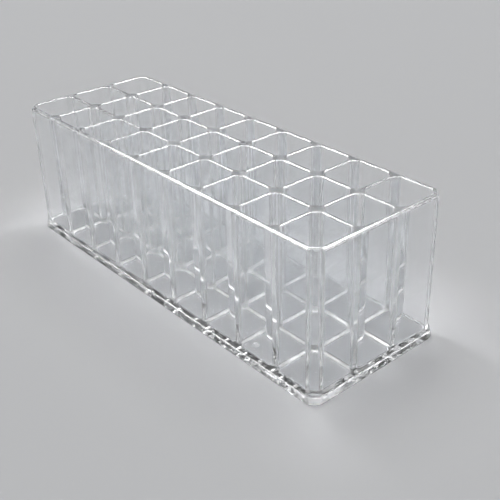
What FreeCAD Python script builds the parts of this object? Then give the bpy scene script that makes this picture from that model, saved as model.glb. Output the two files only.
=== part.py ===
import FreeCAD, Part
import math
import os

# Clear plastic organizer with rows of square cells on a stepped base.
# Millimetres, +X along the length, +Z up, origin at the middle of the underside.

# Cells
cells_along = 9
cells_across = 3
cell_clear = 22.2
divider_thickness = 2.0
divider_edge_round = 0.7
corner_web_leg = 2.7
lap_share = 0.5

# Outer walls
wall_thickness = 2.8
outer_corner_leg = 4.9
rim_height = 72.0
wall_edge_round = 1.4

# Base
floor_thickness = 4.4
foot_height = 3.4
foot_overhang = 0.9
foot_shoulder = 0.25

# Cuts run this far past the face they open
cut_overrun = 1.0

pitch = cell_clear + divider_thickness
inner_length = cells_along * pitch - divider_thickness
inner_width = cells_across * pitch - divider_thickness
block_length = inner_length + 2 * wall_thickness
block_width = inner_width + 2 * wall_thickness
panel_height = rim_height - floor_thickness
lap_level = floor_thickness + lap_share * panel_height
web_top = rim_height - divider_edge_round


def cell_start(index, inner_size):
    """Lower side of a cell, counted from the low end of a run of cells centred on zero."""
    return index * pitch - inner_size / 2


def divider_start(index, inner_size):
    """Lower side of the divider that follows a cell."""
    return cell_start(index, inner_size) + cell_clear


def flat_wire(points, level):
    corners = [FreeCAD.Vector(x, y, level) for x, y in points]
    return Part.makePolygon(corners + corners[:1])


def upright(points, low, high):
    """A prism on a flat outline, between two levels."""
    face = Part.Face(flat_wire(points, low))
    return face.extrude(FreeCAD.Vector(0, 0, high - low))


def rounded_wire(length, width, radius, level):
    """A rectangle with rounded corners, centred on the Z axis."""
    quarter = math.pi / 2
    centres = [(1, 1), (-1, 1), (-1, -1), (1, -1)]
    up = FreeCAD.Vector(0, 0, 1)
    arcs = []
    for turn, (side_x, side_y) in enumerate(centres):
        centre = FreeCAD.Vector(side_x * (length / 2 - radius), side_y * (width / 2 - radius), level)
        circle = Part.Circle(centre, up, radius)
        arcs.append(Part.ArcOfCircle(circle, turn * quarter, (turn + 1) * quarter).toShape())
    edges = []
    for arc, following in zip(arcs, arcs[1:] + arcs[:1]):
        edges.append(arc)
        edges.append(Part.makeLine(arc.Vertexes[-1].Point, following.Vertexes[0].Point))
    return Part.Wire(edges)


def base_plate():
    """A spreading foot, with a step above it that carries the walls and is the cells' floor."""
    foot_wires = [
        rounded_wire(block_length + 2 * spread, block_width + 2 * spread, outer_corner_leg + spread, level)
        for spread, level in ((foot_overhang, 0), (foot_shoulder, foot_height))
    ]
    foot = Part.makeLoft(foot_wires, True, True)
    step_face = Part.Face(rounded_wire(block_length, block_width, outer_corner_leg, foot_height))
    step = step_face.extrude(FreeCAD.Vector(0, 0, floor_thickness - foot_height))
    return foot.fuse(step).removeSplitter()


def block_form():
    """The outside of the cell block: upright corners cut at 45 degrees, and a rounded rim."""
    half_length = block_length / 2
    half_width = block_width / 2
    points = []
    for side_x, side_y in ((1, 1), (-1, 1), (-1, -1), (1, -1)):
        long_side = (side_x * (half_length - outer_corner_leg), side_y * half_width)
        end_side = (side_x * half_length, side_y * (half_width - outer_corner_leg))
        points += [end_side, long_side] if side_x == side_y else [long_side, end_side]
    form = upright(points, floor_thickness, rim_height)
    rim = [edge for edge in form.Edges if min(v.Z for v in edge.Vertexes) > lap_level]
    return form.makeFillet(wall_edge_round, rim)


def panel(low_x, low_y, size_x, size_y):
    """An upright panel standing on the floor, with the two long edges of its top rounded."""
    shape = Part.makeBox(size_x, size_y, panel_height, FreeCAD.Vector(low_x, low_y, floor_thickness))
    long_size = max(size_x, size_y)
    top_edges = [
        edge
        for edge in shape.Edges
        if min(v.Z for v in edge.Vertexes) > lap_level and edge.Length > long_size - divider_edge_round
    ]
    return shape.makeFillet(divider_edge_round, top_edges)


def long_wall(side):
    """A wall over the whole length, on the side of Y that the sign says."""
    low_y = side * inner_width / 2 - (wall_thickness if side < 0 else 0)
    whole = panel(-block_length / 2, low_y, block_length, wall_thickness)
    return whole.common(block_form())


def end_wall(side):
    """A wall between the two long walls, at the end of X that the sign says."""
    low_x = side * inner_length / 2 - (wall_thickness if side < 0 else 0)
    whole = panel(low_x, -inner_width / 2, wall_thickness, inner_width)
    return whole.common(block_form())


def long_divider(index):
    """Runs from end wall to end wall, with slots open at the top for the cross dividers."""
    shape = panel(-inner_length / 2, divider_start(index, inner_width), inner_length, divider_thickness)
    slot_low = FreeCAD.Vector(0, divider_start(index, inner_width) - cut_overrun, lap_level)
    for crossing in range(cells_along - 1):
        slot_low.x = divider_start(crossing, inner_length)
        slot = Part.makeBox(
            divider_thickness,
            divider_thickness + 2 * cut_overrun,
            rim_height - lap_level + cut_overrun,
            slot_low,
        )
        shape = shape.cut(slot)
    return shape


def cross_divider(index):
    """Runs from long wall to long wall, with slots open at the foot for the long dividers."""
    shape = panel(divider_start(index, inner_length), -inner_width / 2, divider_thickness, inner_width)
    slot_low = FreeCAD.Vector(
        divider_start(index, inner_length) - cut_overrun, 0, floor_thickness - cut_overrun
    )
    for crossing in range(cells_across - 1):
        slot_low.y = divider_start(crossing, inner_width)
        slot = Part.makeBox(
            divider_thickness + 2 * cut_overrun,
            divider_thickness,
            lap_level - floor_thickness + cut_overrun,
            slot_low,
        )
        shape = shape.cut(slot)
    return shape


def corner_web(corner_x, corner_y, side_x, side_y):
    """The 45 degree web in one upright corner of a cell, growing towards the cell's middle."""
    points = [
        (corner_x, corner_y),
        (corner_x + side_x * corner_web_leg, corner_y),
        (corner_x, corner_y + side_y * corner_web_leg),
    ]
    return upright(points, floor_thickness, web_top)


def corner_web_row(row):
    """All the webs of one row of cells along the length, as separate pieces of one group."""
    low_y = cell_start(row, inner_width)
    webs = []
    for column in range(cells_along):
        low_x = cell_start(column, inner_length)
        for corner_x, side_x in ((low_x, 1), (low_x + cell_clear, -1)):
            for corner_y, side_y in ((low_y, 1), (low_y + cell_clear, -1)):
                webs.append(corner_web(corner_x, corner_y, side_x, side_y))
    return Part.makeCompound(webs)


nodes = {
    "base_plate": base_plate(),
    "front_wall": long_wall(-1),
    "back_wall": long_wall(1),
    "left_end_wall": end_wall(-1),
    "right_end_wall": end_wall(1),
}
for number in range(cells_across - 1):
    nodes["long_divider_%d" % (number + 1)] = long_divider(number)
for number in range(cells_along - 1):
    nodes["cross_divider_%d" % (number + 1)] = cross_divider(number)
for number in range(cells_across):
    nodes["corner_webs_row_%d" % (number + 1)] = corner_web_row(number)

os.makedirs("parts", exist_ok=True)
for name, shape in nodes.items():
    shape.exportStep("parts/" + name + ".step")
    box = shape.BoundBox
    print("%-18s solids %3d, valid %s, volume %9.1f" % (name, len(shape.Solids), shape.isValid(), shape.Volume))
    print("    X %.2f to %.2f" % (box.XMin, box.XMax), end=", ")
    print("Y %.2f to %.2f, Z %.2f to %.2f" % (box.YMin, box.YMax, box.ZMin, box.ZMax))
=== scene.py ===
import math

import bmesh
import bpy
from mathutils import Matrix, Vector
from mathutils.geometry import delaunay_2d_cdt


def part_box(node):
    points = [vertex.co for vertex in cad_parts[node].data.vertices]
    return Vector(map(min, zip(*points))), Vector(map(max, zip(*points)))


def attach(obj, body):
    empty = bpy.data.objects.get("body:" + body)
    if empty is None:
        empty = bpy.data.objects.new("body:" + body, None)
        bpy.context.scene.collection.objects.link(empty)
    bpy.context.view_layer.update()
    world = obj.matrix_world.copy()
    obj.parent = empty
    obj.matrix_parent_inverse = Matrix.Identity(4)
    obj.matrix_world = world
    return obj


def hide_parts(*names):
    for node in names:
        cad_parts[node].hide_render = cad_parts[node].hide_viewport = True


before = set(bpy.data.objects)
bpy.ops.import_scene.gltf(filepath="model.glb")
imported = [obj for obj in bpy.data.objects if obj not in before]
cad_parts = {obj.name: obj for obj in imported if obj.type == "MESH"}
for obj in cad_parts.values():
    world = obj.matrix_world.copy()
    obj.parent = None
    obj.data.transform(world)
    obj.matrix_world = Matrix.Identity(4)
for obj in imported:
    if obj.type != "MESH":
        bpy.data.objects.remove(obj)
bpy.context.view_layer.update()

# Sizes that the frame's boxes don't give, in metres
WEB_LEG = 0.0027
OUTER_LEG = 0.0049
FOOT_HEIGHT = 0.0034
FOOT_SHOULDER = 0.00025
SHOULDER_ROUND = 0.0009
WALL_RIM_ROUND = 0.0014
CELL_RIM_ROUND = 0.0007
CELL_FOOT_ROUND = 0.0013
FLOOR_CORNER_ROUND = 0.0008
WEB_EDGE_ROUND = 0.0012
CORNER_EDGE_ROUND = 0.0003
LEAST_EDGE_ROUND = 0.00006
FOOT_EDGE_ROUND = 0.0003
AIR_GAP = 0.0002

# The turn at each edge of a cut corner, and how much the cut's leg shrinks when the sides beside it
# move inwards by 1
CUT_TURN = math.pi / 4
LEG_SHRINK = 2 - math.sqrt(2)

# How far from a divider the outside gets a point of its own, as a share of the web's leg
STATION_SHARE = 1.4

# Gate mark on one cell's floor: its middle, its profile as (radius, height) from the edge inwards,
# and how far the raised rings stray from circles
GATE_MARK = (0.0665, -0.0290)
GATE_PROFILE = (
    (0.0017, 0.0),
    (0.0015, 0.0003),
    (0.0012, 0.00034),
    (0.0009, 0.00004),
    (0.0005, 0.0001),
    (0.0003, 0.00045),
)
GATE_RAGGED_SHARE = 0.1
GATE_STEPS = 24

# Steps in a quarter circle of a rim, and in each 45 degree turn of a corner
RIM_STEPS = 5
TURN_STEPS = 4

# Mesh. Points nearer than these distances, in metres, are one point, and edges that turn by more
# than the angle stay sharp. The weight lets the large faces set the shading at the edges they share.
WELD_DISTANCE = 1e-7
OUTLINE_TOLERANCE = 1e-9
SHARP_ANGLE = math.radians(50)
LARGE_FACE_WEIGHT = 100

# Plastic. Heights and reaches are in metres, and scales are the noise's cells to a metre.
PLASTIC_COLOUR = (0.985, 0.99, 0.995)
PLASTIC_IOR = 1.56
WAVE_SCALE = 45.0
WAVE_HEIGHT = 0.000008
SMUDGE_SCALE = 28.0
SMUDGE_CREST = (0.55, 0.75)
SCRATCH_TURN = (0.3, 0.2, 0.9)
SCRATCH_SCALE = (2600.0, 60.0, 700.0)
SCRATCH_CREST = (0.74, 0.78)
SCRATCH_DEPTH = 0.000004
UNDERSIDE_REACH = 0.0004

# Roughness of the plastic where it is clean, smudged and scratched, and underneath
POLISHED = 0.0
SMUDGED = 0.012
SCRATCHED = 0.15
UNDERSIDE = 0.02

# Camera: azimuth, elevation and roll in degrees, lens and sensor in millimetres, the rest in metres
CAMERA_TARGET = Vector((0.00715, 0.01714, 0.00975))
CAMERA_AZIMUTH = 50.15
CAMERA_ELEVATION = 29.4
CAMERA_ROLL = -1.755
CAMERA_DISTANCE = 0.441
CAMERA_LENS = 61.24
SENSOR_WIDTH = 36.0
CLIP_START = 0.01

# Floor, which fades out between two distances from the object, in metres
FLOOR_COLOUR = (0.5, 0.505, 0.515)
FLOOR_ROUGHNESS = 0.8
FLOOR_REACH = 4.0
FLOOR_FADE = (0.9, 3.6)
FLOOR_SEGMENTS = 96

# Backdrop, which fades out between two elevations, in degrees
BACKDROP_COLOUR = (0.2, 0.203, 0.21)
BACKDROP_FADE = (12.0, 24.0)

# Lamps: azimuth and elevation in degrees, distance, size and radiance
SOFTBOXES = {
    "overhead_box": (0, 89.9, 5.0, (2.5, 2.5), 5.0),
    "left_box": (276, 66, 5.0, (4.4, 1.9), 4.2),
    "rear_box": (175, 61, 5.0, (4.4, 1.25), 4.2),
}
# These strips show in mirrored edges only, and light nothing else
EDGE_STRIPS = {
    "left_strip": (276, 47.7, 1.2, (1.04, 0.45), 17.0),
    "corner_strip": (225, 50, 1.2, (0.9, 0.4), 17.0),
    "rear_strip": (175, 56, 1.2, (1.08, 0.3), 17.0),
}

# Light passes many faces of clear plastic, so a ray may turn this often
LIGHT_BOUNCES = 64


def gaps_between(names, axis):
    """Clear spans between neighbouring nodes along an axis, from their boxes."""
    spans = sorted((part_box(name)[0][axis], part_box(name)[1][axis]) for name in names)
    return [(a[1], b[0]) for a, b in zip(spans, spans[1:])]


cross_dividers = sorted(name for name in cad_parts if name.startswith("cross_divider"))
long_dividers = sorted(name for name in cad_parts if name.startswith("long_divider"))
columns = gaps_between(["left_end_wall", *cross_dividers, "right_end_wall"], 0)
rows = gaps_between(["front_wall", *long_dividers, "back_wall"], 1)
half_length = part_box("right_end_wall")[1][0]
half_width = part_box("back_wall")[1][1]
rim_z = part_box("front_wall")[1][2]
floor_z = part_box("base_plate")[1][2]
foot_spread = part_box("base_plate")[1][0] - half_length


def corner_turn(leg, edge_round):
    """Points of a 45 degree cut corner whose two edges are rounded, measured back from the corner.

    The sides run along +X and then +Y; each point is how far it lies short of the corner in X and in Y.
    """
    lead = leg + edge_round * math.tan(CUT_TURN / 2)
    points = []
    for start, x, y in ((2 * CUT_TURN, lead, edge_round), (CUT_TURN, edge_round, lead)):
        for step in range(TURN_STEPS + 1):
            angle = start - step * CUT_TURN / TURN_STEPS
            points.append((x - edge_round * math.cos(angle), y - edge_round * math.sin(angle)))
    return points


def corner_arc(radius):
    """Points of a plain rounded corner, as many as corner_turn gives and measured the same way.

    Its two ends lie on the sides, where the ends of the cut corner above it are.
    """
    lead = radius + CORNER_EDGE_ROUND * math.tan(CUT_TURN / 2)
    steps = 2 * TURN_STEPS - 1
    points = [(lead, 0.0)]
    for step in range(steps + 1):
        angle = math.pi / 2 * (1 - step / steps)
        points.append((radius - radius * math.cos(angle), radius - radius * math.sin(angle)))
    return points + [(0.0, lead)]


def loop_points(low, high, corner, spread, side_places=((), ())):
    """A closed outline, anticlockwise from the low X end of the low Y side, with four like corners.

    side_places are places along X and along Y that the straight sides have points at.
    """
    (x0, y0), (x1, y1) = (low[0] - spread, low[1] - spread), (high[0] + spread, high[1] + spread)
    xs, ys = side_places
    points = [(x, y0) for x in xs]
    points += [(x1 - a, y0 + b) for a, b in corner]
    points += [(x1, y) for y in ys]
    points += [(x1 - b, y1 - a) for a, b in corner]
    points += [(x, y1) for x in reversed(xs)]
    points += [(x0 + a, y1 - b) for a, b in corner]
    points += [(x0, y) for y in reversed(ys)]
    points += [(x0 + b, y0 + a) for a, b in corner]
    return points


def add_loop(bm, points, z):
    return [bm.verts.new((x, y, z)) for x, y in points]


def skin(bm, lower, upper, outward=True):
    """Quads between two loops with the same number of points."""
    count = len(lower)
    for i in range(count):
        j = (i + 1) % count
        quad = (lower[i], lower[j], upper[j], upper[i])
        bm.faces.new(quad if outward else quad[::-1])


def quarter_profile(radius):
    """(how far back, how far down) over a rounded edge, from the upright face to the level face."""
    angles = [step * math.pi / 2 / RIM_STEPS for step in range(RIM_STEPS + 1)]
    return [(radius * (1 - math.cos(angle)), radius * (1 - math.sin(angle))) for angle in angles]


def outer_levels():
    """The outside from the underside's edge to the rim: (height, spread, corner points)."""
    levels = []
    foot_corner = OUTER_LEG + foot_spread
    for back, down in reversed(quarter_profile(FOOT_EDGE_ROUND)):
        levels.append((down, foot_spread - back, corner_arc(foot_corner - back)))
    flare = (foot_spread - FOOT_SHOULDER) / FOOT_HEIGHT
    shoulder = FOOT_SHOULDER + flare * SHOULDER_ROUND
    for back_share, down_share in quarter_profile(1.0):
        spread = shoulder * (1 - back_share)
        levels.append((FOOT_HEIGHT - SHOULDER_ROUND * down_share, spread, corner_arc(OUTER_LEG + spread)))
    levels.append((floor_z, 0.0, corner_arc(OUTER_LEG)))
    levels.append((floor_z, 0.0, corner_turn(OUTER_LEG, CORNER_EDGE_ROUND)))
    for back, down in quarter_profile(WALL_RIM_ROUND):
        edge_round = max(CORNER_EDGE_ROUND - back, LEAST_EDGE_ROUND)
        levels.append((rim_z - down, -back, corner_turn(OUTER_LEG - back * LEG_SHRINK, edge_round)))
    return levels


def cell_levels():
    """The inside of one cell from the rim to the floor: (height, spread, corner points)."""
    levels = []
    for back, down in reversed(quarter_profile(CELL_RIM_ROUND)):
        levels.append((rim_z - down, back, corner_turn(WEB_LEG + back * LEG_SHRINK, WEB_EDGE_ROUND + back)))
    for back, down in quarter_profile(CELL_FOOT_ROUND):
        edge_round = max(WEB_EDGE_ROUND - back, FLOOR_CORNER_ROUND)
        levels.append((floor_z + down, -back, corner_turn(WEB_LEG - back * LEG_SHRINK, edge_round)))
    return levels


def flat_between(bm, outer, holes):
    """Triangles over a level face, between its outer loop and the loops of its holes."""
    verts = list(outer)
    edges = [(i, (i + 1) % len(outer)) for i in range(len(outer))]
    for hole in holes:
        base = len(verts)
        verts += hole
        edges += [(base + i, base + (i + 1) % len(hole)) for i in range(len(hole))]
    flat = [Vector((v.co.x, v.co.y)) for v in verts]
    _, _, triangles, origins, _, _ = delaunay_2d_cdt(flat, edges, [], 0, OUTLINE_TOLERANCE)
    sources = [origin[0] for origin in origins]
    hole_sets = []
    base = len(outer)
    for hole in holes:
        hole_sets.append(set(range(base, base + len(hole))))
        base += len(hole)
    for triangle in triangles:
        ids = [sources[i] for i in triangle]
        if any(all(i in members for i in ids) for members in hole_sets):
            continue
        bm.faces.new([verts[i] for i in ids])


def gate_mark(bm):
    """The round scar of the moulding gate; gives back the loop where it meets the floor."""
    rings = []
    turns = [2 * math.pi * step / GATE_STEPS for step in range(GATE_STEPS)]
    for radius, height in GATE_PROFILE:
        stray = GATE_RAGGED_SHARE if height else 0.0
        points = []
        for turn in turns:
            ragged = radius * (1 + stray * math.sin(3 * turn) * math.cos(turn))
            points.append((GATE_MARK[0] + ragged * math.cos(turn), GATE_MARK[1] + ragged * math.sin(turn)))
        rings.append(add_loop(bm, points, floor_z + height))
    for lower, upper in zip(rings, rings[1:]):
        skin(bm, lower, upper)
    bm.faces.new(rings[-1])
    return rings[0]


def stations(spans):
    """Places beside each divider, from the clear spans between dividers."""
    setback = WEB_LEG * STATION_SHARE
    return [place for low, high in spans for place in (low + setback, high - setback)][1:-1]


def cell_block_mesh():
    """The whole moulding as one closed skin: outside, rim, cells and underside."""
    bm = bmesh.new()
    low, high = (-half_length, -half_width), (half_length, half_width)
    loops = []
    for z, spread, corner in outer_levels():
        points = loop_points(low, high, corner, spread, (stations(columns), stations(rows)))
        loops.append(add_loop(bm, points, z))
    for lower, upper in zip(loops, loops[1:]):
        skin(bm, lower, upper)
    bm.faces.new(loops[0][::-1])
    rims = []
    for x0, x1 in columns:
        for y0, y1 in rows:
            cell = [
                add_loop(bm, loop_points((x0, y0), (x1, y1), corner, spread), z)
                for z, spread, corner in cell_levels()
            ]
            for upper, lower in zip(cell, cell[1:]):
                skin(bm, lower, upper, outward=False)
            if x0 < GATE_MARK[0] < x1 and y0 < GATE_MARK[1] < y1:
                flat_between(bm, cell[-1], [gate_mark(bm)])
            else:
                bm.faces.new(cell[-1])
            rims.append(cell[0])
    flat_between(bm, loops[-1], rims)
    bmesh.ops.remove_doubles(bm, verts=bm.verts, dist=WELD_DISTANCE)
    bmesh.ops.recalc_face_normals(bm, faces=bm.faces)
    mesh = bpy.data.meshes.new("cell_block")
    bm.to_mesh(mesh)
    bm.free()
    return mesh


def smooth_with_flat_faces(obj):
    """Smooth rounds that leave the flats flat."""
    for polygon in obj.data.polygons:
        polygon.use_smooth = True
    obj.data.set_sharp_from_angle(angle=SHARP_ANGLE)
    weighted = obj.modifiers.new("weighted_normals", "WEIGHTED_NORMAL")
    weighted.keep_sharp = True
    weighted.weight = LARGE_FACE_WEIGHT


def clear_plastic():
    """Colourless polished plastic, faintly wavy, smudged and scratched, and less polished underneath."""
    mat = bpy.data.materials.new("clear_plastic")
    mat.use_nodes = True
    nodes, links = mat.node_tree.nodes, mat.node_tree.links
    shader = nodes["Principled BSDF"]
    shader.inputs["Base Color"].default_value = (*PLASTIC_COLOUR, 1.0)
    shader.inputs["Transmission Weight"].default_value = 1.0
    shader.inputs["IOR"].default_value = PLASTIC_IOR
    place = nodes.new("ShaderNodeTexCoord").outputs["Object"]

    def noise(scale, detail, vector=place):
        node = nodes.new("ShaderNodeTexNoise")
        node.inputs["Scale"].default_value = scale
        node.inputs["Detail"].default_value = detail
        links.new(vector, node.inputs["Vector"])
        return node.outputs["Fac"]

    def between(value, low, high, to_low, to_high):
        node = nodes.new("ShaderNodeMapRange")
        ends = {"From Min": low, "From Max": high, "To Min": to_low, "To Max": to_high}
        for name, number in ends.items():
            node.inputs[name].default_value = number
        links.new(value, node.inputs["Value"])
        return node.outputs["Result"]

    def larger_of(first, second):
        node = nodes.new("ShaderNodeMath")
        node.operation = "MAXIMUM"
        links.new(first, node.inputs[0])
        links.new(second, node.inputs[1])
        return node.outputs["Value"]

    def hairlines():
        """Sparse straight scratches: thin crests of a noise that is stretched along one direction."""
        mapping = nodes.new("ShaderNodeMapping")
        mapping.inputs["Rotation"].default_value = SCRATCH_TURN
        mapping.inputs["Scale"].default_value = SCRATCH_SCALE
        links.new(place, mapping.inputs["Vector"])
        return between(noise(1.0, 0.0, mapping.outputs["Vector"]), *SCRATCH_CREST, 0.0, 1.0)

    scratches = hairlines()
    smudges = between(noise(SMUDGE_SCALE, 1.0), *SMUDGE_CREST, POLISHED, SMUDGED)
    height = nodes.new("ShaderNodeSeparateXYZ")
    links.new(place, height.inputs["Vector"])
    underside = between(height.outputs["Z"], UNDERSIDE_REACH, UNDERSIDE_REACH / 2, POLISHED, UNDERSIDE)
    scuffs = between(scratches, 0.0, 1.0, POLISHED, SCRATCHED)
    links.new(larger_of(larger_of(smudges, scuffs), underside), shader.inputs["Roughness"])

    def relief(value, depth, carved=False, under=None):
        node = nodes.new("ShaderNodeBump")
        node.invert = carved
        node.inputs["Distance"].default_value = depth
        links.new(value, node.inputs["Height"])
        if under:
            links.new(under, node.inputs["Normal"])
        return node.outputs["Normal"]

    waves = relief(noise(WAVE_SCALE, 1.0), WAVE_HEIGHT)
    links.new(relief(scratches, SCRATCH_DEPTH, True, waves), shader.inputs["Normal"])
    return mat


def build_block():
    mesh = cell_block_mesh()
    obj = bpy.data.objects.new("cell_block", mesh)
    bpy.context.collection.objects.link(obj)
    smooth_with_flat_faces(obj)
    obj.data.materials.append(clear_plastic())
    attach(obj, "root")
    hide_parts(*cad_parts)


def pale_floor():
    """A matt disc that fades into the backdrop away from the object."""
    mat = bpy.data.materials.new("pale_floor")
    mat.use_nodes = True
    nodes, links = mat.node_tree.nodes, mat.node_tree.links
    shader = nodes["Principled BSDF"]
    shader.inputs["Base Color"].default_value = (*FLOOR_COLOUR, 1.0)
    shader.inputs["Roughness"].default_value = FLOOR_ROUGHNESS
    shader.inputs["Specular IOR Level"].default_value = 0.0
    away = nodes.new("ShaderNodeVectorMath")
    away.operation = "LENGTH"
    links.new(nodes.new("ShaderNodeTexCoord").outputs["Object"], away.inputs[0])
    fade = nodes.new("ShaderNodeMapRange")
    fade.interpolation_type = "SMOOTHSTEP"
    fade.inputs["From Min"].default_value, fade.inputs["From Max"].default_value = FLOOR_FADE
    links.new(away.outputs["Value"], fade.inputs["Value"])
    mix = nodes.new("ShaderNodeMixShader")
    links.new(fade.outputs["Result"], mix.inputs[0])
    links.new(shader.outputs["BSDF"], mix.inputs[1])
    links.new(nodes.new("ShaderNodeBsdfTransparent").outputs["BSDF"], mix.inputs[2])
    links.new(mix.outputs["Shader"], nodes["Material Output"].inputs["Surface"])
    bm = bmesh.new()
    bmesh.ops.create_circle(bm, cap_ends=True, segments=FLOOR_SEGMENTS, radius=FLOOR_REACH)
    bmesh.ops.translate(bm, verts=bm.verts, vec=(0, 0, -AIR_GAP))
    mesh = bpy.data.meshes.new("studio_floor")
    bm.to_mesh(mesh)
    bm.free()
    obj = bpy.data.objects.new("studio_floor", mesh)
    bpy.context.collection.objects.link(obj)
    obj.data.materials.append(mat)


def toward(azimuth, elevation):
    """Unit vector away from the origin; azimuth 0 is -Y, the front, and 90 is +X."""
    a, e = math.radians(azimuth), math.radians(elevation)
    return Vector((math.sin(a) * math.cos(e), -math.cos(a) * math.cos(e), math.sin(e)))


def softbox(name, azimuth, elevation, distance, size, radiance):
    """An area light that faces the object and looks as bright as radiance says."""
    data = bpy.data.lights.new(name, "AREA")
    data.shape = "RECTANGLE"
    data.size, data.size_y = size
    data.energy = radiance * math.pi * size[0] * size[1]
    obj = bpy.data.objects.new(name, data)
    direction = toward(azimuth, elevation)
    obj.location = direction * distance
    obj.rotation_euler = direction.to_track_quat("Z", "Y").to_euler()
    bpy.context.collection.objects.link(obj)
    return obj


def backdrop():
    """A mid-grey backdrop all round, up to a little above the horizon, under a dark ceiling."""
    world = bpy.data.worlds.new("studio_world")
    bpy.context.scene.world = world
    world.use_nodes = True
    nodes, links = world.node_tree.nodes, world.node_tree.links
    nodes["Background"].inputs["Color"].default_value = (*BACKDROP_COLOUR, 1.0)
    direction = nodes.new("ShaderNodeSeparateXYZ")
    links.new(nodes.new("ShaderNodeTexCoord").outputs["Generated"], direction.inputs["Vector"])
    fade = nodes.new("ShaderNodeMapRange")
    fade.interpolation_type = "SMOOTHSTEP"
    full, none = (math.sin(math.radians(elevation)) for elevation in BACKDROP_FADE)
    for name, number in (("From Min", full), ("From Max", none), ("To Min", 1.0), ("To Max", 0.0)):
        fade.inputs[name].default_value = number
    links.new(direction.outputs["Z"], fade.inputs["Value"])
    links.new(fade.outputs["Result"], nodes["Background"].inputs["Strength"])


def studio():
    backdrop()
    for name, box in SOFTBOXES.items():
        softbox(name, *box)
    for name, box in EDGE_STRIPS.items():
        strip = softbox(name, *box)
        strip.visible_diffuse = False
        strip.visible_transmission = False


def camera():
    data = bpy.data.cameras.new("camera")
    data.lens = CAMERA_LENS
    data.sensor_width = SENSOR_WIDTH
    data.clip_start = CLIP_START
    obj = bpy.data.objects.new("camera", data)
    bpy.context.collection.objects.link(obj)
    back = toward(CAMERA_AZIMUTH, CAMERA_ELEVATION)
    right = (-back).cross(Vector((0, 0, 1))).normalized()
    up = right.cross(-back)
    roll = math.radians(CAMERA_ROLL)
    tilted_right = right * math.cos(roll) + up * math.sin(roll)
    tilted_up = up * math.cos(roll) - right * math.sin(roll)
    turn = Matrix((tilted_right, tilted_up, back)).transposed().to_4x4()
    obj.matrix_world = Matrix.Translation(CAMERA_TARGET + back * CAMERA_DISTANCE) @ turn
    bpy.context.scene.camera = obj


camera()
build_block()
pale_floor()
studio()

scene = bpy.context.scene
scene.view_settings.view_transform = "Standard"
scene.cycles.max_bounces = LIGHT_BOUNCES
scene.cycles.transmission_bounces = LIGHT_BOUNCES
scene.cycles.glossy_bounces = LIGHT_BOUNCES
scene.cycles.blur_glossy = 0.0
